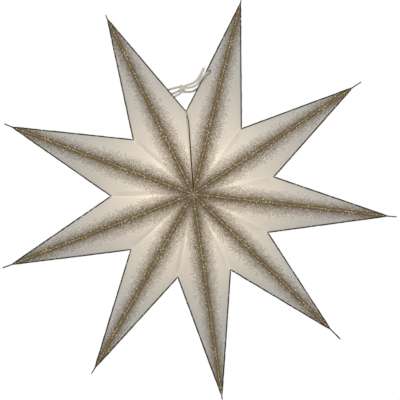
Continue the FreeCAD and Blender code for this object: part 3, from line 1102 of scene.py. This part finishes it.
def bronze_rim():
    """The dark bronze of the rims and tails, with specks of glitter and pale wear."""
    material, tree = new_tree("bronze_edge")
    place = object_place(tree)
    shade = noise(tree, place, 260.0, 4.0, 0.65)
    wear = noise(tree, place, 60.0, 3.0, 0.6)
    off, chance = flecks_of(tree, place, 620.0, "3D")
    near = ramped(tree, off, 0.3, 0.55, 1.0, 0.0)
    fleck = times(tree, calc(tree, "GREATER_THAN", chance, 0.93), near)
    colour = mixed(tree, ramped(tree, shade, *MIDTONES), RIM_DARK, RIM_LIGHT)
    colour = mixed(tree, ramped(tree, wear, 0.62, 0.78, 0.0, 0.4), colour, RIM_PALE)
    surface = principled(tree, {
        "Base Color": mixed(tree, fleck, colour, RIM_GLITTER),
        "Roughness": ramped(tree, shade, *MIDTONES, 0.38, 0.6),
        "Specular IOR Level": 0.15, "Normal": bumped(tree, shade, 0.4, 0.15 * MM),
    })
    finished(tree, surface)
    return material


def cotton():
    """Undyed cotton: fine fibres that run with the plies, a little soiled here and there."""
    material, tree = new_tree("cotton_string")
    along_plies = stretched(tree, stored_vector(tree, "on_string"), 0.0, (900.0, 26.0))
    fibres = noise(tree, along_plies, 1.0, 4.0, 0.7)
    place = object_place(tree)
    soil = noise(tree, place, 160.0, 3.0)
    fuzz = noise(tree, place, 3800.0, 3.0)
    colour = mixed(tree, ramped(tree, fibres, 0.3, 0.72), COTTON_DARK, COTTON_LIGHT)
    height = calc(tree, "MULTIPLY_ADD", fuzz, 0.5, fibres)
    surface = principled(tree, {
        "Base Color": mixed(tree, ramped(tree, soil, 0.45, 0.75, 0.0, 0.5), colour, COTTON_SOILED),
        "Roughness": 0.85, "Normal": bumped(tree, height, 0.7, 0.2 * MM),
        "Sheen Weight": 0.3, "Sheen Roughness": 0.6, "Specular IOR Level": 0.25,
    })
    finished(tree, surface)
    return material


with_flange = printed_paper(False)
without_flange = printed_paper(True)
plain = plain_paper()
bronze = bronze_rim()
string_cotton = cotton()


# ---------------- riding


def dress(piece, materials):
    piece.data.materials.clear()
    for material in materials:
        piece.data.materials.append(material)


def fold_with(piece):
    """Gives the piece a mesh of its own."""
    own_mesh(piece)


for (k, front), piece in papers.items():
    numbers = np.empty(len(piece.data.polygons), np.int32)
    piece.data.polygons.foreach_get("material_index", numbers)
    dress(piece, (without_flange if k == 1 else with_flange, plain, bronze))
    piece.data.polygons.foreach_set("material_index", numbers)
    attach(piece, f"point_{k}")
    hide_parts(f"{'front' if front else 'back'}_sheet_{k}")
    fold_with(piece)

for piece, node, k in flanges:
    dress(piece, (plain,))
    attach(piece, f"point_{k}")
    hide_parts(node)
    fold_with(piece)

# Each piece of the tie with its point and its CAD node.
strings = (
    (tie["left_loop"], LAST, "tie_left_loop"),
    (tie["left_return"], LAST, "tie_left_return"),
    (tie["left_tail"], LAST, "tie_left_tail"),
    (left_fray, LAST, None),
    (reef_knot, LAST, "reef_knot"),
    (stopper, LAST, "stopper_knot"),
    (tie["right_loop"], 1, "tie_right_loop"),
    (tie["right_tail"], 1, "tie_right_tail"),
    (right_fray, 1, None),
)


for piece, k, node in strings:
    dress(piece, (string_cotton,))
    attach(piece, f"point_{k}")
    if node:
        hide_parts(node)
    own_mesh(piece)


# ---------------- stage and light

FLOOR_DROP = 0.45  # below the lowest tail
FLOOR_RADIUS = 1.7
FLOOR_GREY = (0.86, 0.86, 0.85, 1.0)
WHITE = (1.0, 1.0, 1.0, 1.0)
SKY = (0.97, 0.985, 1.0, 1.0)
SKY_LIGHT = 0.81
# Soft lamps that point at the star: place, size, power and colour.
LAMPS = {
    "key": ((-1.0, -2.2, 1.6), 1.6, 14.0, (1.0, 0.99, 0.97)),
    "fill": ((1.6, -1.8, 0.2), 1.6, 6.0, (0.96, 0.98, 1.0)),
}
GLOW_BEAMS = 6
GLOW_POWER = 0.37
GLOW_COLOUR = (1.0, 0.96, 0.88)
GLOW_SIZE = 0.012
GLOW_ANGLE = math.radians(125)


def glowing(tree, kind, colour, strength):
    return put_node(tree, kind, {"Color": colour, "Strength": strength}).outputs[0]


def add_floor():
    """A pale round floor that fades into the white backdrop."""
    level = cad_box[0][2] - FLOOR_DROP
    bpy.ops.mesh.primitive_circle_add(
        vertices=96, radius=FLOOR_RADIUS, fill_type="NGON", location=(0.0, 0.0, level)
    )
    floor = bpy.context.object
    floor.name = "floor"
    material, tree = new_tree("floor")
    far = vector_calc(tree, "LENGTH", object_place(tree))
    pale = put_node(tree, "ShaderNodeBsdfDiffuse", {"Color": FLOOR_GREY}).outputs[0]
    white = glowing(tree, "ShaderNodeEmission", WHITE, 1.0)
    share = ramped(tree, far, FLOOR_RADIUS * 0.45, FLOOR_RADIUS * 0.98)
    finished(tree, blended(tree, share, pale, white))
    floor.data.materials.append(material)


def add_world():
    """The camera sees plain white, and the light from all round is a little dimmer."""
    world = bpy.data.worlds.new("studio")
    bpy.context.scene.world = world
    world.use_nodes = True
    tree = world.node_tree
    tree.nodes.clear()
    seen = put_node(tree, "ShaderNodeLightPath").outputs["Is Camera Ray"]
    lit = glowing(tree, "ShaderNodeBackground", SKY, SKY_LIGHT)
    backdrop = glowing(tree, "ShaderNodeBackground", WHITE, 1.0)
    put_node(tree, "ShaderNodeOutputWorld", {"Surface": blended(tree, seen, lit, backdrop)})


def aimed_light(name, kind, power, colour, way):
    """A light that shines along way. Returns it and its data."""
    data = bpy.data.lights.new(name, kind)
    data.energy = power
    data.color = colour
    light = new_object(name, data)
    light.rotation_mode = "QUATERNION"
    light.rotation_quaternion = way.to_track_quat("-Z", "Y")
    return light, data


def add_inner_glow():
    """The weak light that comes through the paper around the centre, from beams that lie
    in the star's plane."""
    for n in range(GLOW_BEAMS):
        turn = 2 * math.pi * n / GLOW_BEAMS
        outwards = Vector((math.sin(turn), 0.0, math.cos(turn)))
        _, data = aimed_light(f"inner_glow_{n}", "SPOT", GLOW_POWER, GLOW_COLOUR, outwards)
        data.shadow_soft_size = GLOW_SIZE
        data.spot_size = GLOW_ANGLE
        data.spot_blend = 1.0


add_floor()
add_world()
for name, (place, size, power, colour) in LAMPS.items():
    lamp, lamp_data = aimed_light(name, "AREA", power, colour, -Vector(place))
    lamp.location = place
    lamp_data.shape = "SQUARE"
    lamp_data.size = size
add_inner_glow()
bpy.context.scene.view_settings.view_transform = "Standard"
